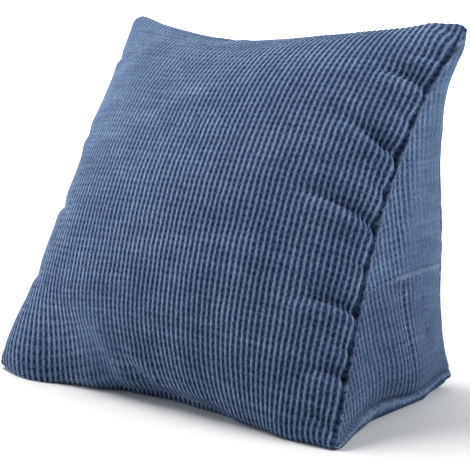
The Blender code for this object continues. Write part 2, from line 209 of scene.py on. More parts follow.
# Creases: a trough with a bulge below it, from the seam that draws it in to where it fades out
CREASES = {
    "front": (
        # (u and v at the seam, u and v at the end, depth, half width, bulge below it, or above if negative)
        (0.995, 0.940, 0.915, 0.992, 0.0048, 0.0075, 0.0024),
        (0.995, 0.895, 0.905, 0.890, 0.0030, 0.0055, 0.0015),
        (0.995, 0.822, 0.850, 0.836, 0.0085, 0.0080, 0.0035),
        (0.995, 0.735, 0.910, 0.752, 0.0028, 0.0055, 0.0015),
        (0.995, 0.645, 0.870, 0.680, 0.0085, 0.0076, 0.0038),
        (0.950, 0.660, 0.800, 0.700, 0.0050, 0.0080, 0.0022),
        (0.995, 0.560, 0.900, 0.575, 0.0030, 0.0055, 0.0015),
        (0.995, 0.480, 0.770, 0.500, 0.0095, 0.0078, 0.0042),
        (0.995, 0.390, 0.900, 0.390, 0.0030, 0.0055, 0.0015),
        (0.995, 0.290, 0.815, 0.262, 0.0090, 0.0080, 0.0040),
        (0.995, 0.205, 0.900, 0.198, 0.0030, 0.0055, 0.0015),
        (0.995, 0.145, 0.880, 0.128, 0.0075, 0.0070, 0.0032),
        (0.990, 0.030, 0.890, 0.060, 0.0040, 0.0070, 0.0016),
        (0.010, 0.405, 0.150, 0.400, 0.0034, 0.0075, 0.0010),
        (0.010, 0.225, 0.130, 0.205, 0.0018, 0.0080, 0.0006),
        (0.010, 0.620, 0.090, 0.612, 0.0024, 0.0080, 0.0010),
        (0.010, 0.860, 0.080, 0.850, 0.0020, 0.0070, 0.0010),
        (0.465, 0.002, 0.360, 0.056, 0.0036, 0.0090, -0.0026),
        (0.380, 0.004, 0.230, 0.170, -0.0040, 0.0160, 0.0),
        (0.350, 0.765, 0.220, 0.800, 0.0012, 0.0130, 0.0008),
        (0.405, 0.990, 0.385, 0.930, 0.0012, 0.0080, 0.0008),
    ),
    "back": (
        (0.020, 0.300, 0.160, 0.330, 0.0030, 0.007, 0.0020),
        (0.980, 0.400, 0.840, 0.420, 0.0030, 0.007, 0.0020),
        (0.020, 0.700, 0.120, 0.690, 0.0025, 0.007, 0.0015),
        (0.980, 0.740, 0.880, 0.720, 0.0025, 0.007, 0.0015),
    ),
}
STEEP, GENTLE = 0.7, 1.3  # a crease's width towards its bulge and away from it, as shares of the table's
CREASE_FADE = (0.15, 0.6)  # shares of its length over which it begins and fades out
BULGE = (1.7, 1.2)  # a bulge's distance from its crease and half width, in the crease's half widths
ARCH = 0.09  # how far a crease arches upwards between its ends, as a share of its length
HELD = (0.007, 0.55)  # within that distance of a seam, creases and folds are shallower by that share
FOLD_FADE = (0.05, 0.03)  # shares of the height over which a fold begins and ends
SIDE_FOLDS = (
    # upright folds of the right side panel: (place along its foot, foot, top, depth, half width)
    (0.35, 0.05, 0.33, 0.0022, 0.0062),
    (0.455, 0.02, 0.3, -0.0014, 0.009),
    (0.21, 0.08, 0.3, 0.001, 0.008),
    (0.3, 0.44, 0.64, 0.0012, 0.008),
)

# How finely each piece of cloth is drawn
ACROSS_DENSE = 641  # points across a crowned panel when its cloth is measured
CLOSER_ENDS = 0.7  # how close together they are beside the seams
EDGE_ROWS = (0.001, 0.0023, 0.0039, 0.0058, 0.008)  # distances from a seam of the rows beside it
EDGE_ROW_SHARE = 0.05  # the most that such a row takes of a short rib's length
BACK_STEP = 0.0074  # between the rows of points up the back
BASE_STEP = 0.045  # between those across the base
SIDE_ROWS = 46  # rows of points up a side panel, between those beside its seams
POCKET_ROWS = 34  # rows up the pocket below its hem
HEM_ROWS = (1.12, 1.0, 0.88, 0.7, 0.5, 0.3, 0.15, 0.05, 0.0)  # distances from its top edge, in hem widths
HEM_ROWS_FROM = 1.25  # where the even rows below them end
BASE_ROWS = (0.001, 0.0025, 0.0045, 0.007, 0.01, 0.014, 0.019, 0.026)
BASE_ROLL = {
    # seam: (how far in the base reaches the floor, at its start, at its end, how far it stands out before)
    "base_front": (0.022, 0.022, 0.0),
    "base_back": (0.022, 0.022, 0.003),
    "base_left": (0.022, 0.022, 0.003),
    "base_right": (0.007, 0.026, 0.0012),
}
BASE_ROLL_POWER = 2.6  # how sharply it turns down to the floor
BASE_TUCK_AT = 0.006  # from a base seam to where the base stands that far out, before it turns under

# The pocket
CLOTH = 0.001  # its thickness
CLEARANCE = 0.0003  # between it and the ribs behind it
POCKET_EDGE = 0.002  # from the pocket's border to the seams that catch it
LEAST_RIB = 0.004  # least share of the height that a rib of the pocket takes
HEM_FULLNESS = 0.0006  # how much thicker its hem is
HEM_STITCH = (0.0008, 0.0012)  # how deep the hem's line of stitches lies, half width
HEM_FADE = 0.004  # share of the height over which the hem begins
HEM_FLAT = 0.9  # share of itself that the hem loses towards the front seam
HEM_PLAIN = 0.75  # share of their height that the ribs lose on it
HEM_LIGHT = 0.42  # how light it is, as a share of a rib
TO_FRONT = (0.34, 0.16)  # where the pocket's front half begins, and over which share it takes over
RIM_ROUND = 0.0016  # distance over which the hem rounds to its top edge
RIM_THINNER = (0.7, 0.2)  # share of its thickness that the top edge loses, and what the front half adds
PRESSED = 0.3  # share of their height that the ribs behind the pocket keep
SUNK = (0.0019, 0.0013)  # how far the pocket is sunk into the side: at its front, at its back
SUNK_AT = (0.32, 0.25)  # where the first begins to take over, and over which share
HEM_STEP = (0.0032, 0.0006)  # it sinks between these distances below the pocket's top edge
STEP_LOW, STEP_HIGH = (HEM_TOP - below / HEIGHT for below in HEM_STEP)
HEM_ROOM = 0.06  # least share of the height above the hem where a rib's rows step with it

# The pile: colours from the foot of a groove to a rib's crest, as (share of the height, colour); the dark
# foot is partly the darker ground cloth and partly painted shade in the grooves
PILE = (
    (0.1, (0.018, 0.041, 0.102)),
    (0.5, (0.062, 0.106, 0.2)),
    (0.95, (0.166, 0.228, 0.342)),
)
CREST = (0.54, 0.99)  # where a rib's light crest begins and is full, in its wave from 0 to 1
RUNG_CREST = (0.4, 0.95)  # the same for a rung
RAGGED = 0.7  # how ragged the edges of both are
FLATTENED = 0.34  # how much darker the crests of taut cloth are
# Uneven light and dark in it, as (value of the noise, tint)
NAP = ((0.3, (0.84, 0.86, 0.89)), (0.7, (1.15, 1.13, 1.1)))
TUFTS = ((0.3, (0.77, 0.79, 0.83)), (0.7, (1.23, 1.2, 1.17)))
STREAKS = ((0.3, (0.88, 0.89, 0.91)), (0.7, (1.13, 1.11, 1.09)))
SPECKLE = ((0.25, (0.76, 0.78, 0.81)), (0.75, (1.22, 1.19, 1.16)))
SPECKLED = 0.75  # how much of the speckle shows
STREAK_RUNS = (0.07, 0.55, 0.0)  # noise cells for each rib across and each kernel along
ROUGHNESS = (0.12, 0.82)  # how much it varies, least
GLOSS = {
    "Specular IOR Level": 0.02,
    "Sheen Weight": 0.12,
    "Sheen Roughness": 0.5,
    "Sheen Tint": (0.7, 0.8, 1.0, 1.0),
}
CUSHION_TONE = 1.06
POCKET_TONE = 0.94

# The studio and the photograph's viewpoint
LIGHTS = {
    # name: (direction from the pillow, distance, size, power, colour)
    "key": ((-0.5, 0.0, 1.05), 2.2, 1.0, 48.0, (1.0, 0.99, 0.98)),
    "fill": ((-0.95, -0.35, 0.08), 2.2, 1.0, 29.0, (1.0, 1.0, 1.0)),
    "rim": ((0.85, 0.32, 0.72), 2.4, 1.2, 29.0, (0.97, 0.98, 1.0)),
}
LIT_HEIGHT = 0.18  # height of the point that the lights face
WORLD_LIGHT = 0.06
WHITE = (1.0, 1.0, 1.0, 1.0)
SWEEP_SIZE = 9.0  # half width and height
SWEEP_BACK = 4.0  # where it begins to rise
SWEEP_RADIUS = 1.6
SWEEP_STEPS = 12
SWEEP_LOOK = {
    "Base Color": (0.86, 0.86, 0.86, 1.0),
    "Roughness": 0.9,
    "Emission Color": WHITE,
}
SWEEP_GLOW = (0.35, 2.2, 1.5)  # distances between which it begins to glow, how bright
YAW = 35.82  # degrees that the camera stands to the right
SWEEP_YAW = 35.8  # degrees that the sweep is turned
PITCH = 11.91  # degrees that it looks down
DISTANCE = 1.4003
LENS = 98.84
AIM = (0.0, 0.0, 0.2)  # the point that it looks past
AIM_OFF = (0.0152, 0.0385)  # by so much to the right, and below


def bow(t, power):
    """0 at both ends and 1 at the middle."""
    return np.clip(np.sin(np.pi * np.clip(t, 0.0, 1.0)), 0.0, 1.0) ** power


def dome(t, power, rounding):
    """Like bow, with a flatter middle and steeper ends."""
    return np.clip(1.0 - np.abs(2.0 * t - 1.0) ** power, 0.0, 1.0) ** rounding


def bell(distance, half_width):
    """1 at no distance, and less and less to either side."""
    return np.exp(-((distance / half_width) ** 2))


def unit(vectors):
    return vectors / np.maximum(np.linalg.norm(vectors, axis=-1, keepdims=True), 1e-12)


def seam_ends(name):
    return [np.array(CORNERS[corner]) for corner in SEAMS[name][:2]]


def seam(name, t):
    """Points along a seam, t from 0 to 1."""
    pull, power, *bend = SEAMS[name][2:]
    start, end = seam_ends(name)
    t = np.asarray(t, float)[..., None]
    line = start + (end - start) * t + np.array(pull) * bow(t, power)
    return line + np.array(bend[0]) * np.sin(2.0 * np.pi * t) if bend else line


def patch(left, right, low, high, u, v):
    """A surface through four seams, bilinearly blended, at every pair of u and v."""
    u, v = u[:, None, None], v[None, :, None]
    across = (1 - u) * left[None] + u * right[None]
    upward = (1 - v) * low[:, None] + v * high[:, None]
    flat = (1 - u) * (1 - v) * low[0] + u * (1 - v) * low[-1] + (1 - u) * v * high[0] + u * v * high[-1]
    return across + upward - flat


def crown(name, u, v):
    """How far a panel stands off its seams, at every pair of u and v."""
    swell, direction, power_u, round_u, power_v, round_v, left_bias, low_bias, end_bias = CROWNS[name]
    fall = 1.0 - 2.0 * v
    across = dome(u, power_u, round_u) * (1.0 + left_bias * (1.0 - 2.0 * u))
    upward = dome(v, power_v, round_v) * (1.0 + low_bias * fall + end_bias * fall * fall)
    return swell * across[:, None, None] * upward[None, :, None] * direction


def crowned_panel(name, u, v):
    """The front or back panel, with its cloth spread evenly from side to side in every row."""
    even = np.linspace(0.0, 1.0, ACROSS_DENSE)
    dense = (1.0 - CLOSER_ENDS) * even + CLOSER_ENDS * (0.5 - 0.5 * np.cos(np.pi * even))
    left, right = seam(name + "_left", v), seam(name + "_right", v)
    foot, top = seam("base_" + name, dense), seam("top", dense)
    rows = patch(left, right, foot, top, dense, v) + crown(name, dense, v)
    arc = np.zeros(rows.shape[:2])
    arc[1:] = np.cumsum(np.linalg.norm(np.diff(rows, axis=0), axis=2), axis=0)
    panel = np.empty((len(u), len(v), 3))
    for j in range(len(v)):
        for k in range(3):
            panel[:, j, k] = np.interp(u * arc[-1, j], arc[:, j], rows[:, j, k])
    return panel


def side_panel(side, q, v):
    """Points of a side panel; q runs from the back seam to the front seam, v from the base up."""
    back, front = seam("back_" + side, v), seam("front_" + side, v)
    points = back + (front - back) * q[..., None]
    foot = seam("back_" + side, 0.0) + (seam("front_" + side, 0.0) - seam("back_" + side, 0.0)) * q[..., None]
    points = points + (seam("base_" + side, 1.0 - q) - foot) * ((1.0 - v) ** 2)[..., None]
    rise = np.clip(v / SIDE_SWELL_FOOT, 0.0, 1.0)
    lean = 1.0 + SIDE_SWELL_BACK * (1.0 - 2.0 * q)
    swell = SIDE_SWELL * dome(q, 2.0, 1.0) * lean * rise * (2.0 - rise) * (1.0 - v)
    return points + OUTWARD[side] * swell[..., None]


def soft_noise(x, y, size, seed):
    """Smooth hills and hollows between -1 and 1, about size apart."""
    levels = np.random.default_rng(seed).uniform(-1.0, 1.0, (NOISE_CELLS, NOISE_CELLS))
    levels = np.pad(levels, (0, 1), mode="wrap")
    x, y = np.broadcast_arrays(x / size, y / size)
    i, j = np.floor(x).astype(int), np.floor(y).astype(int)
    s, t = smooth(x - i), smooth(y - j)
    i, j = i % NOISE_CELLS, j % NOISE_CELLS
    low = levels[i, j] * (1 - s) + levels[i + 1, j] * s
    high = levels[i, j + 1] * (1 - s) + levels[i + 1, j + 1] * s
    return low * (1 - t) + high * t


def smooth(x):
    x = np.clip(x, 0.0, 1.0)
    return x * x * (3.0 - 2.0 * x)


def rib_columns(count, profile):
    """Shares across a panel of the points on its ribs, and their heights, without the two outer seams."""
    shares = np.array([(rib + place) / count for rib in range(count) for place, _ in profile])
    heights = np.array([height for _ in range(count) for _, height in profile])
    return shares[1:], heights[1:]


def rows_between(length, near, step):
    """Shares along a line of that length: close together beside its two seams, and a step apart between."""
    inside = step * np.arange(1, int(length / step) + 1)
    inside = inside[(inside > near[-1] + 0.3 * step) & (inside < length - near[-1] - 0.3 * step)]
    return np.concatenate((near, inside, length - np.array(near[::-1]))) / length


def grid_normals(points, outward):
    return outward * unit(np.cross(np.gradient(points, axis=0), np.gradient(points, axis=1)))


def crease_depth(panel, across, upward):
    begins_over, fades_over = CREASE_FADE
    bulge_at, bulge_half = BULGE
    depth = np.zeros(np.broadcast(across, upward).shape)
    size = np.array(FRONT_CUT)
    place = np.stack(np.broadcast_arrays(across, upward), axis=-1)
    for u0, v0, u1, v1, deepest, half_width, bulge in CREASES.get(panel, ()):
        start, end = np.array((u0, v0)) * size, np.array((u1, v1)) * size
        run = end - start
        above = np.array((-run[1], run[0])) / np.hypot(*run)
        above = above if above[1] > 0 else -above
        along = ((place - start) @ run) / (run @ run)
        fade = smooth((1.0 - along) / fades_over) * smooth((along + begins_over) / begins_over)
        between = np.clip(along, 0.0, 1.0)
        arch = ARCH * np.hypot(*run) * 4.0 * between * (1.0 - between)
        away = (place - start) @ above - arch
        away *= -1.0 if bulge < 0 else 1.0
        trough = deepest * bell(away, half_width * np.where(away > 0, GENTLE, STEEP))
        hill = abs(bulge) * bell(away + bulge_at * half_width, bulge_half * half_width)
        depth += (trough - hill) * fade
    return depth


def seam_line(name, panel, distance, t, tips):
    """How far a seam moves a panel's points, or its own, at that distance from it; t runs along it."""
    first, second, on_first, on_second, beside, half_width, ridge = SEWN[name][:7]
    deepest = {first: on_first, second: on_second}.get(panel, 0.5 * (on_first + on_second))
    start, end = seam_ends(name)
    lumps = soft_noise(t * np.linalg.norm(end - start), 0.0, RIDGE_PITCH, RIDGE_SEED + len(name))
    depth = deepest * bell(distance - beside, half_width)
    depth = depth - ridge * (1.0 + RIDGE_LUMPS * lumps) * bell(distance, RIDGE_HALF)
    return -unit(OUTWARD[first] + OUTWARD[second]) * (smooth(tips / SEAM_FADE) * depth)[..., None]


def fold_depth(side, j, v):
    begins_over, ends_over = FOLD_FADE
    depth = np.zeros(v.shape)
    if side == "right":
        for at, foot, top, deepest, half_width in SIDE_FOLDS:
            fade = smooth((v - foot) / begins_over) * smooth((top - v) / ends_over)
            depth += deepest * fade * bell((j - at) * SIDE_CUT, half_width)
    return depth


class Ground:
    """A panel's surface under its ribs: points, normals and distances to the seams round it, on one grid."""

    def __init__(self, panel, points, outward, across, upward, edges, tips, creases, seed):
        self.across, self.upward = across, upward
        self.nearest = np.minimum.reduce([distance for distance, _ in edges.values()])
        full = smooth(tips / SEAM_FADE)
        lift = np.zeros(self.nearest.shape)
        for k, (size, share) in enumerate(LUMP_SIZES):
            lift += share * LUMP * soft_noise(across, upward, size, seed + k)
        lift *= smooth(self.nearest / LUMP_FROM)
        held_within, held_share = HELD
        lift -= creases * (1.0 - held_share * bell(self.nearest, held_within))
        for k, (name, (distance, _)) in enumerate(edges.items()):
            height, pitch, reach = SEWN[name][7:]
            run = across if name == "top" or name.startswith("base") else upward
            gather = height * soft_noise(run, 0.25 * distance, pitch, seed + 5 + k)
            near = np.exp(-distance / reach)
            lift += full * gather * near * (1.0 - bell(distance, GATHER_FROM))
        sway = SWAY * soft_noise(across, upward, SWAY_PITCH, seed + 20) * smooth(self.nearest / SWAY_FROM)
        points = points + unit(np.gradient(points, axis=0)) * sway[..., None]
        self.points = points + grid_normals(points, outward) * lift[..., None]
        for name, (distance, t) in edges.items():
            self.points = self.points + seam_line(name, panel, distance, t, tips)
        self.normals = grid_normals(self.points, outward)

    def raised(self, height):
        return self.points + self.normals * np.asarray(height)[..., None]

    def rib_share(self, panel):
        least = EDGE_RIBS[panel]
        return least + (1.0 - least) * smooth(self.nearest / EDGE_RIB_REACH)

    def weave(self, ribs, share, crest_coloured=0.0):
        """At each point: ribs across, kernels along, how full the ribs stand and how far they are lost to a
        crest's colour, which also paints light on a seam's ridge.
        """
        nothing = 0.0 * share
        return np.stack((ribs + nothing, self.upward / KERNEL, share, crest_coloured + nothing), axis=-1)


def ribbed(heights, upward, share):
    """Height of the cloth over its ground: ribs, with rungs between them at the ends of their kernels."""
    rung = 0.5 + 0.5 * np.cos(2.0 * np.pi * upward / KERNEL)
    heights = heights[:, None] * (1.0 - BEAD * rung)
    return RIB_HEIGHT * share * (heights + (1.0 - heights) * RUNG * rung)


def four_edges(seams, u, v, width, height):
    """Places across and up a panel, its seams' distances and shares along them, and its tips' distance."""
    x, y = np.meshgrid(u * width, v * height, indexing="ij")
    edges = dict(zip(seams, ((x, v), (width - x, v), (y, u[:, None]), (height - y, u[:, None]))))
    return x, y, edges, np.hypot(np.minimum(x, width - x), np.minimum(y, height - y))


def four_borders(seams, u, v):
    """Where its four edges are in its grid, and the shares along them."""
    return dict(zip(seams, ((np.s_[0, :], v), (np.s_[-1, :], v), (np.s_[:, 0], u), (np.s_[:, -1], u))))


def crowned_ground(name, seams, u, v):
    across, upward, edges, tips = four_edges(seams, u, v, *FRONT_CUT)
    outward, seed = (1.0, 100) if name == "front" else (-1.0, 200)
    points = crowned_panel(name, u, v)
    creases = crease_depth(name, across, upward)
    return Ground(name, points, outward, across, upward, edges, tips, creases, seed)


def side_top(j):
    """Where a side panel's rib ends on the front seam; j is its place along the foot, from the back seam."""
    return (1.0 - j) / (1.0 + SIDE_LEAN * j)


def side_ground(side, j, v):
    """A side panel's ground at height v up its ribs, their places j along the foot and where they lean to."""
    j = j[:, None] + 0.0 * v
    place = j * (1.0 + SIDE_LEAN * v)
    across, upward = place * SIDE_CUT, v * HEIGHT
    slope = (1.0 - place - v) * HEIGHT * FRONT_SLANT
    tips = np.minimum(np.hypot(across, HEIGHT - upward), np.hypot(across, upward))
    tips = np.minimum(tips, np.hypot(SIDE_CUT - across, upward))
    outward, seed = (-1.0, 300) if side == "right" else (1.0, 400)
    edges = {"back_" + side: (across, v), "base_" + side: (upward, 1.0 - place), "front_" + side: (slope, v)}
    points = side_panel(side, np.clip(place / (1.0 - v), 0.0, 1.0), v)
    return Ground(side, points, outward, across, upward, edges, tips, fold_depth(side, j, v), seed), j, place


def cells(grid):
    """The four corners of each cell of a grid."""
    return np.stack((grid[:-1, :-1], grid[1:, :-1], grid[1:, 1:], grid[:-1, 1:]), axis=2)


def on_crests(places):
    """Weave coordinates at faces' corners; where ribs are lost, and where light is painted on a seam's ridge,
    a face lies on the crest nearest to it.
    """
    crest = np.floor(places[..., 0].mean(axis=-1, keepdims=True)) + 0.5
    ribs = places[..., 0] + places[..., 3] * (crest - places[..., 0])
    return np.stack((ribs, places[..., 1], places[..., 2]), axis=-1).reshape(-1, 3)


class Cover:
    """One closed piece of cloth: its points, its faces and the weave coordinates at each face's corners."""

    def __init__(self):
        self.points = []
        self.count = 0
        self.faces = []
        self.weave = []

    def add(self, points):
        points = np.asarray(points, float)
        first = self.count
        self.points.append(points.reshape(-1, 3))
        self.count += points.size // 3
        return np.arange(first, self.count).reshape(points.shape[:-1])

    def quads(self, ids, weave):
        """Faces over a grid of points."""
        self.faces.extend(cells(ids).reshape(-1, 4).tolist())
        self.weave.append(on_crests(cells(weave)))

    def strip(self, line_a, line_b):
        """Triangles between two lines that run the same way; each line is (ids, shares, weave)."""
        ids_a, at_a, weave_a = line_a
        ids_b, at_b, weave_b = line_b
        last_a, last_b = len(ids_a) - 1, len(ids_b) - 1
        i = j = 0
        places = []
        while i < last_a or j < last_b:
            on_a = j == last_b or (i < last_a and at_a[i + 1] <= at_b[j + 1])
            tip, tip_weave = (ids_a[i + 1], weave_a[i + 1]) if on_a else (ids_b[j + 1], weave_b[j + 1])
            self.faces.append([int(ids_a[i]), int(tip), int(ids_b[j])])
            places += [weave_a[i], tip_weave, weave_b[j]]
            i, j = (i + 1, j) if on_a else (i, j + 1)
        self.weave.append(on_crests(np.array(places).reshape(-1, 3, 4)))


class Panel:
    """A panel's grid in a cover, and its border beside each seam: ids, shares along the seam and weave."""

    def __init__(self, cover, points, weave, borders):
        self.ids = cover.add(points)
        cover.quads(self.ids, weave)
        self.borders = {}
        for name, (place, shares) in borders.items():
            order = np.argsort(shares)
            self.borders[name] = (self.ids[place][order], shares[order], weave[place][order])


def painted_shade(ribs, last, share):
    """Painted shade: rib coordinates with the last ones moved by that share into a groove, so that they take
    its dark colour.
    """
    return np.where(ribs > FRONT_RIBS - last, ribs + share * (FRONT_RIBS - 1.0 - ribs), ribs)


def patchy(terms, along, seed):
    """Patches between 0 and 1 along a seam; terms are how many, how uneven and the distance between them."""
    level, uneven, pitch = terms
    return smooth(level + uneven * soft_noise(along, 0.0, pitch, seed))


def crowned_cloth(cover, name, profile, step):
    u, heights = rib_columns(FRONT_RIBS, profile)
    v = rows_between(FRONT_CUT[1], EDGE_ROWS, step)
    seams = (name + "_left", name + "_right", "base_" + name, "top")
    ground = crowned_ground(name, seams, u, v)
    share = ground.rib_share(name)
    if name == "front":
        for lost, taut_u, taut_v, reach_u, reach_v in TAUT:
            away = ((u[:, None] - taut_u) / reach_u) ** 2 + ((v - taut_v) / reach_v) ** 2
            share = share * (1.0 - lost * np.exp(-away))
    points = ground.raised(ribbed(heights, ground.upward, share))
    # painted shade beside the panel's right-hand seam: in patches over its last ribs, unbroken over the very
    # last
    ribs = painted_shade(u[:, None] * FRONT_RIBS, SHADE_PATCH_RIBS, patchy(SHADE_PATCHES, ground.upward, RIDGE_SEED))
    weave = ground.weave(painted_shade(ribs, FULL_SHADE_RIBS, 1.0), share)
    return Panel(cover, points, weave, four_borders(seams, u, v))


def side_rows(top, near, even):
    """Heights of the points up each rib of a side panel, as shares of the whole: denser beside its seams."""
    tall = (top * HEIGHT)[:, None]
    close = np.minimum(near, tall * EDGE_ROW_SHARE * np.arange(1, len(near) + 1)) / HEIGHT
    low, high = close[:, -1:], top[:, None] - close[:, -1:]
    middle = low + (high - low) * (np.arange(1, even + 1) / (even + 1))[None, :]
    return np.concatenate((close, middle, top[:, None] - close[:, ::-1]), axis=1)


def snapped(rows, top):
    """The same rows, with the two nearest the pocket's hem moved to the step in the cloth that it covers."""
    rows = rows.copy()
    above = (rows < HEM_TOP).sum(axis=1)
    for i in np.flatnonzero(top - HEM_TOP > HEM_ROOM):
        rows[i, above[i] - 2 : above[i]] = STEP_LOW, STEP_HIGH
    return rows


def side_share(ground, place, furthest):
    """How full the ribs of a side panel stand: less beside its seams and near its back edge."""
    less, widest, over = PLAIN_BACK
    more, full_at, half_width = FULL_RIBS
    plain_to = np.minimum(furthest, widest * (1.0 - ground.upward / HEIGHT))
    stretched = 1.0 - less * smooth((plain_to + over - place) / over)
    fuller = 1.0 + more * bell(place - full_at, half_width)
    return ground.rib_share("side") * SIDE_RIB_SHARE * stretched * fuller


def behind_pocket(v):
    """1 where the side's cloth is pressed in behind the pocket, 0 above it."""
    return smooth((STEP_HIGH - v) / (STEP_HIGH - STEP_LOW))


def pocket_sunk(place):
    """How far the side is pressed in under the pocket: most at the front, where its hem hardly shows."""
    front, back = SUNK
    begins, over = SUNK_AT
    return back + (front - back) * smooth((place - begins) / over)


def side_cloth(cover, side, profile):
    j, heights = rib_columns(SIDE_RIBS, profile)
    top = side_top(j)
    v = side_rows(top, EDGE_ROWS, SIDE_ROWS)
    if side == "right":
        v = snapped(v, top)
    ground, j_grid, place = side_ground(side, j, v)
    share = side_share(ground, place, PLAIN_TO[0])
    height = RIB_HEIGHT * heights[:, None] * share
    if side == "right":
        behind = behind_pocket(v)
        height = height * (1.0 - (1.0 - PRESSED) * behind) - pocket_sunk(place) * behind
    borders = {
        "base_" + side: (np.s_[:, 0], 1.0 - j),
        "front_" + side: (np.s_[:, -1], v[:, -1]),
        "back_" + side: (np.s_[0, :], v[0]),
        "tip": (np.s_[-1, :], v[-1]),
    }
    # painted light on the side panel beside the front seam's ridge, in patches of crumbs
    painted_crumbs = patchy(LIT_CRUMBS, v * HEIGHT, RIDGE_SEED + 1)
    ridge_painted_light = smooth((PAINTED_RIDGE_LIGHT - (top[:, None] - v) * HEIGHT) / PAINTED_RIDGE_LIGHT) * painted_crumbs
    weave = ground.weave(j_grid * SIDE_RIBS, np.maximum(share, PAINTED_CRUMB_LIGHT * ridge_painted_light), ridge_painted_light)
    return Panel(cover, ground.raised(height), weave, borders)


def base_cloth(cover):
    """The base: it rolls under from its seams and lies flat on the floor, where its ribs are pressed out."""
    u, heights = rib_columns(FRONT_RIBS, COARSE_RIB)
    w = rows_between(DEPTH, BASE_ROWS, BASE_STEP)
    left, right = seam("base_left", w), seam("base_right", w)
    points = patch(left, right, seam("base_front", u), seam("base_back", u), u, w)
    seams = ("base_left", "base_right", "base_front", "base_back")
    x, y, edges, tips = four_edges(seams, u, w, WIDTH, DEPTH)
    kept = np.zeros(x.shape)
    for name, (distance, t) in edges.items():
        first, last, _ = BASE_ROLL[name]
        kept = np.maximum(kept, 1.0 - distance / (first + (last - first) * t**4))
    kept = kept**BASE_ROLL_POWER
    for name, (distance, t) in edges.items():
        far = distance / BASE_TUCK_AT
        tuck = BASE_ROLL[name][2] * smooth(tips / SEAM_FADE) * far * np.exp(1.0 - far)
        points = points + OUTWARD[SEWN[name][0]] * (1.0, 1.0, 0.0) * tuck[..., None]
        points = points + seam_line(name, "base", distance, t, tips)
    points[..., 2] = np.maximum(points[..., 2], 0.0) * kept
    normals = grid_normals(points, -1.0)
    share = 0.25 + 0.75 * smooth(4.0 * kept)
    points = points + normals * (RIB_HEIGHT * heights[:, None] * smooth(3.0 * kept))[..., None]
    points[..., 2] = np.maximum(points[..., 2], 0.0)
    # painted shade on the base's strip under the right-hand welt
    ribs = painted_shade(u * FRONT_RIBS, *BASE_PAINTED_SHADE)
    weave = np.stack((ribs[:, None] + 0.0 * y, y / KERNEL, share, 0.0 * y), axis=-1)
    return Panel(cover, points, weave, four_borders(seams, u, w))


def seam_points(cover, name, panels):
    """The points of one seam, between the two panels that it joins; the corner tips are left out."""
    joined = [panel.borders[name] for panel in panels if name in panel.borders]
    shares = max(joined, key=lambda border: len(border[1]))[1]
    points = seam(name, shares)
    start, end = seam_ends(name)
    tips = np.minimum(np.linalg.norm(points - start, axis=1), np.linalg.norm(points - end, axis=1))
    return cover.add(points + seam_line(name, "", 0.0, shares, tips)), shares


def cushion_cover():
    cover = Cover()
    panels = [
        crowned_cloth(cover, "front", FINE_RIB, KERNEL / 3.0),
        crowned_cloth(cover, "back", COARSE_RIB, BACK_STEP),
        side_cloth(cover, "left", PLAIN_RIB),
        side_cloth(cover, "right", FINE_RIB),
        base_cloth(cover),
    ]
    tips = {name: int(cover.add(np.array([tip]))[0]) for name, tip in CORNERS.items()}
    for name, (start, end, *_) in SEAMS.items():
        ids, shares = seam_points(cover, name, panels)
        ids = np.concatenate(([tips[start]], ids, [tips[end]]))
        shares = np.concatenate(([0.0], shares, [1.0]))
        for panel in panels:
            if name in panel.borders:
                border_ids, border_shares, weave = panel.borders[name]
                beside = np.stack([np.interp(shares, border_shares, weave[:, k]) for k in range(4)], axis=1)
                if name in ("front_right", "base_right") and panel is not panels[3]:
                    beside[:, 0] = FRONT_RIBS - 0.5  # painted light: the ridge of these seams is coloured as light as a crest
                cover.strip((ids, shares, beside), (border_ids, border_shares, weave))
    for side, panel in (("left", panels[2]), ("right", panels[3])):
        border_ids, border_shares, weave = panel.borders["tip"]
        cover.strip(([tips["front_" + side]], [0.0], weave[:1]), (border_ids, border_shares, weave))
    return cover


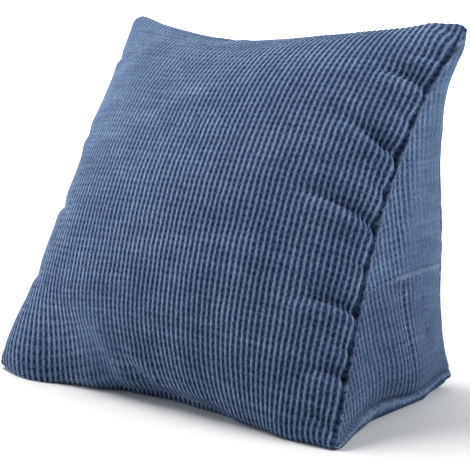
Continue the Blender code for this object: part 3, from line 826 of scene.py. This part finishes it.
def pocket_cover():
    """The pocket: one ribbed layer over the foot of the right side panel, with a fuller hem along its top."""
    j, heights = rib_columns(SIDE_RIBS, FINE_RIB)
    low = POCKET_EDGE / HEIGHT
    top = side_top(j) - POCKET_EDGE / (HEIGHT * FRONT_SLANT) / (1.0 + SIDE_LEAN * j)
    inside = (j * SIDE_CUT > POCKET_EDGE) & (top > low + LEAST_RIB)
    j, heights, top = j[inside], heights[inside], np.minimum(HEM_TOP, top[inside])
    hem = (HEM_TOP - HEM_FOOT) / HEM_TOP
    rows = np.concatenate((
        np.linspace(0.0, 1.0 - HEM_ROWS_FROM * hem, POCKET_ROWS),
        1.0 - hem * np.array(HEM_ROWS),
    ))
    v = low + (top - low)[:, None] * rows[None, :]
    ground, j_grid, place = side_ground("right", j, v)
    front_from, front_over = TO_FRONT
    to_front = smooth((place - front_from) / front_over)
    in_hem = smooth((v - HEM_FOOT) / HEM_FADE + 0.5) * (1.0 - HEM_FLAT * to_front)
    stitch_depth, stitch_half = HEM_STITCH
    stitched = bell((v - HEM_FOOT) * HEIGHT, stitch_half) * in_hem
    share = side_share(ground, place, PLAIN_TO[1])
    share_under = side_share(ground, place, PLAIN_TO[0])
    behind = behind_pocket(v)
    under = RIB_HEIGHT * heights[:, None] * share_under * (1.0 - (1.0 - PRESSED) * behind)
    inner = under + CLEARANCE - pocket_sunk(place) * behind
    rim = np.sqrt(np.clip((HEM_TOP - v) * HEIGHT / RIM_ROUND, 0.0, 1.0))
    thin = (RIM_THINNER[0] + RIM_THINNER[1] * to_front) * (1.0 - behind)
    full = CLOTH * (1.0 - thin) + HEM_FULLNESS * in_hem * rim - stitch_depth * stitched
    ribs = RIB_HEIGHT * heights[:, None] * share * (1.0 - HEM_PLAIN * in_hem) * (1.0 - PRESSED) * behind
    cover = Cover()
    weave = ground.weave(j_grid * SIDE_RIBS, np.maximum(share, HEM_LIGHT * in_hem), in_hem)
    layers = []
    for height in (inner, inner + full + ribs):
        ids = cover.add(ground.raised(height))
        cover.quads(ids, weave)
        layers.append(ids)
    ring = []
    for grid in (layers[0], layers[1], weave):
        ring.append(np.concatenate((grid[:, 0], grid[-1, 1:], grid[-2::-1, -1], grid[0, -2::-1])))
    shares = np.arange(len(ring[0]))
    cover.strip((ring[0], shares, ring[2]), (ring[1], shares, ring[2]))
    return cover


def pushed(points):
    """The points as the filling leaves them: nudged, drawn in at the tips and full below the top ones."""
    points = points.copy()
    for x, y, z, push_x, push_y, push_z, reach in NUDGES:
        away = np.linalg.norm(points - (x, y, z), axis=1)
        points += bell(away, reach)[:, None] * (push_x, push_y, push_z)
    for tip in CORNERS.values():
        is_ear = tip[2] > MIDDLE[2]
        outward = unit(np.array(tip) - MIDDLE) * (1.0, 1.0, float(is_ear))
        away = np.linalg.norm(points - tip, axis=1)
        pull = TIP_PULL[0] * bell(away, TIP_PULL[1])
        swell = EAR_SWELL[0] * is_ear * bell(away - EAR_SWELL[1], EAR_SWELL[2])
        points += outward * (swell - pull)[:, None]
    points[:, 2] = np.maximum(points[:, 2], 0.0)
    return points


def placed(name, data):
    """A new object in the scene."""
    made = bpy.data.objects.new(name, data)
    bpy.context.scene.collection.objects.link(made)
    return made


def make_piece(name, cover, shift, material):
    mesh = bpy.data.meshes.new(name)
    mesh.from_pydata((pushed(np.concatenate(cover.points)) + shift).tolist(), [], cover.faces)
    weave = mesh.attributes.new("weave", "FLOAT_VECTOR", "CORNER")
    weave.data.foreach_set("vector", np.concatenate(cover.weave).astype(np.float32).ravel())
    solid = bmesh.new()
    solid.from_mesh(mesh)
    bmesh.ops.recalc_face_normals(solid, faces=solid.faces)
    solid.to_mesh(mesh)
    solid.free()
    mesh.shade_smooth()
    mesh.materials.append(material)
    return placed(name, mesh)


def node(tree, kind, **values):
    """Adds a node. Inputs are named, or numbered i0, i1 and so on; a value that is a socket is linked."""
    made = tree.nodes.new("ShaderNode" + kind)
    for name, value in values.items():
        if hasattr(made, name):
            setattr(made, name, value)
            continue
        key = int(name[1:]) if name[0] == "i" and name[1:].isdigit() else name.replace("_", " ")
        if isinstance(value, bpy.types.NodeSocket):
            tree.links.new(value, made.inputs[key])
        else:
            made.inputs[key].default_value = value
    return made


def maths(tree, operation, *values):
    numbered = {f"i{index}": value for index, value in enumerate(values)}
    return node(tree, "Math", operation=operation, **numbered).outputs[0]


def noise(tree, where, scale, detail, roughness):
    made = node(tree, "TexNoise", Vector=where, Scale=scale, Detail=detail, Roughness=roughness)
    return made.outputs["Fac"]


def smoothed(tree, value, low, high):
    span = {"From_Min": low, "From_Max": high}
    made = node(tree, "MapRange", interpolation_type="SMOOTHSTEP", Value=value, **span)
    return made.outputs["Result"]


def ramp(tree, value, stops):
    made = node(tree, "ValToRGB", Fac=value)
    made.color_ramp.interpolation = "EASE"
    elements = made.color_ramp.elements
    while len(elements) < len(stops):
        elements.new(0.5)
    for element, (place, colour) in zip(elements, stops):
        element.position = place
        element.color = (*colour, 1.0)
    return made.outputs[0]


def crests(tree, wave, place, ragged, limits):
    """1 along the crests of a sine or cosine wave, with ragged edges, and 0 between them."""
    wave = maths(tree, "ABSOLUTE", maths(tree, wave, maths(tree, "MULTIPLY", place, np.pi)))
    return smoothed(tree, maths(tree, "ADD", wave, ragged), *limits)


def set_inputs(made, values):
    for name, value in values.items():
        made.inputs[name].default_value = value


def new_material(name):
    material = bpy.data.materials.new(name)
    material.use_nodes = True
    return material, material.node_tree, material.node_tree.nodes["Principled BSDF"]


def corduroy(name, tone):
    """Ribbed pile: light kernels, dark grooves between them, partly darker ground cloth and partly painted
    shade, and an uneven nap; tone shades it all.
    """
    material, tree, shader = new_material(name)
    weave = node(tree, "Attribute", attribute_name="weave").outputs["Vector"]
    rib, along, share = node(tree, "SeparateXYZ", Vector=weave).outputs
    spot = node(tree, "TexCoord").outputs["Object"]
    nap = noise(tree, spot, 24.0, 3.0, 0.6)
    loops = noise(tree, spot, 420.0, 2.0, 0.6)
    pile = noise(tree, spot, 1100.0, 2.0, 0.7)

    ragged = maths(tree, "MULTIPLY", maths(tree, "SUBTRACT", loops, 0.5), RAGGED)
    crest = crests(tree, "SINE", rib, ragged, CREST)
    rung_crest = crests(tree, "COSINE", along, ragged, RUNG_CREST)
    taut = maths(tree, "SUBTRACT", 1.0, share)
    rung_shade = maths(tree, "MULTIPLY_ADD", taut, RUNG_SHADE[1], RUNG_SHADE[0])
    height = maths(tree, "MAXIMUM", crest, maths(tree, "MULTIPLY", rung_crest, rung_shade))
    # darker into each groove: partly the darker ground cloth, partly painted shade
    groove_cloth_and_shade = maths(tree, "MULTIPLY", maths(tree, "SUBTRACT", 1.0, height), share)
    flattened = maths(tree, "MULTIPLY", taut, FLATTENED)
    shown = maths(tree, "SUBTRACT", maths(tree, "SUBTRACT", 1.0, groove_cloth_and_shade), flattened)

    runs = node(tree, "VectorMath", operation="MULTIPLY", i0=weave, i1=STREAK_RUNS).outputs[0]
    streaks = noise(tree, runs, 1.0, 2.0, 0.6)
    toned_nap = [(value, tone * np.array(tint)) for value, tint in NAP]
    body = ramp(tree, shown, PILE)
    tints = ((nap, toned_nap, 1.0), (loops, TUFTS, 1.0), (streaks, STREAKS, 1.0), (pile, SPECKLE, SPECKLED))
    for level, stops, much in tints:
        tint = ramp(tree, level, stops)
        mix = node(tree, "Mix", data_type="RGBA", blend_type="MULTIPLY", i0=much, i6=body, i7=tint)
        body = mix.outputs[2]
    tree.links.new(body, shader.inputs["Base Color"])

    tree.links.new(maths(tree, "MULTIPLY_ADD", pile, *ROUGHNESS), shader.inputs["Roughness"])
    set_inputs(shader, GLOSS)

    bead_height = maths(tree, "MULTIPLY", height, share)
    beads = node(tree, "Bump", Strength=0.7, Distance=0.0009, Height=bead_height)
    fur = node(tree, "Bump", Strength=0.5, Distance=0.0003, Height=pile, Normal=beads.outputs[0])
    tree.links.new(fur.outputs[0], shader.inputs["Normal"])
    return material


def area_light(name, toward, distance, size, power, colour):
    """A soft round light that faces the pillow from that direction."""
    data = bpy.data.lights.new(name, "AREA")
    data.shape = "DISK"
    data.size = size
    data.energy = power
    data.color = colour
    lamp = placed(name, data)
    direction = Vector(toward).normalized()
    lamp.location = Vector((0.0, 0.0, LIT_HEIGHT)) + direction * distance
    lamp.rotation_euler = (-direction).to_track_quat("-Z", "Y").to_euler()


def camera(shift):
    """The photograph's viewpoint."""
    yaw, pitch = np.radians((YAW, PITCH))
    data = bpy.data.cameras.new("camera")
    data.lens = LENS
    data.sensor_width = 36.0
    eye = placed("camera", data)
    forward = Vector((-np.sin(yaw) * np.cos(pitch), np.cos(yaw) * np.cos(pitch), -np.sin(pitch)))
    right = Vector((np.cos(yaw), np.sin(yaw), 0.0))
    up = right.cross(forward)
    aim = Vector(AIM) + Vector(shift) + right * AIM_OFF[0] - up * AIM_OFF[1]
    eye.location = aim - forward * DISTANCE
    eye.rotation_euler = forward.to_track_quat("-Z", "Y").to_euler()
    bpy.context.scene.camera = eye


def studio():
    """A pale sweep that glows where it is far away, a plain sky and the lights."""
    points = []
    for x in (-SWEEP_SIZE, SWEEP_SIZE):
        points.append((x, -SWEEP_SIZE, 0.0))
        for step in range(SWEEP_STEPS + 1):
            turn = np.pi / 2 * step / SWEEP_STEPS
            points.append((x, SWEEP_BACK + SWEEP_RADIUS * np.sin(turn), SWEEP_RADIUS * (1.0 - np.cos(turn))))
        points.append((x, SWEEP_BACK + SWEEP_RADIUS, SWEEP_SIZE))
    rows = len(points) // 2
    faces = [(k, k + 1, rows + k + 1, rows + k) for k in range(rows - 1)]
    mesh = bpy.data.meshes.new("sweep")
    mesh.from_pydata(points, [], faces)
    mesh.shade_smooth()
    material, tree, shader = new_material("sweep")
    set_inputs(shader, SWEEP_LOOK)
    spot = node(tree, "TexCoord").outputs["Object"]
    away = node(tree, "VectorMath", operation="LENGTH", i0=spot).outputs["Value"]
    near, far, brightness = SWEEP_GLOW
    glow = maths(tree, "MULTIPLY", smoothed(tree, away, near, far), brightness)
    tree.links.new(glow, shader.inputs["Emission Strength"])
    mesh.materials.append(material)
    sweep = placed("sweep", mesh)
    sweep.rotation_euler = (0.0, 0.0, np.radians(SWEEP_YAW))
    world = bpy.data.worlds.new("studio")
    world.use_nodes = True
    set_inputs(world.node_tree.nodes["Background"], {"Color": WHITE, "Strength": WORLD_LIGHT})
    bpy.context.scene.world = world
    for name, light in LIGHTS.items():
        area_light(name, *light)


def main():
    # The tables are centred on the seams and the frame on the solids' box; the left ear shows the shift
    solid = frame["nodes"]["cushion"].data
    top = max((vertex.co for vertex in solid.vertices), key=lambda place: place.z)
    shift = np.array((top.x, top.y, 0.0)) - np.array(CORNERS["top_left"]) * (1.0, 1.0, 0.0)

    cushion_material = corduroy("corduroy", CUSHION_TONE)
    cushion = make_piece("ribbed_cushion", cushion_cover(), shift, cushion_material)
    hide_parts("cushion")
    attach(cushion, "root")

    pocket_material = corduroy("pocket_corduroy", POCKET_TONE)
    pocket = make_piece("ribbed_pocket", pocket_cover(), shift, pocket_material)
    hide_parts("side_pocket")
    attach(pocket, "root")

    studio()
    camera(shift)
    bpy.context.scene.view_settings.view_transform = "Standard"


main()
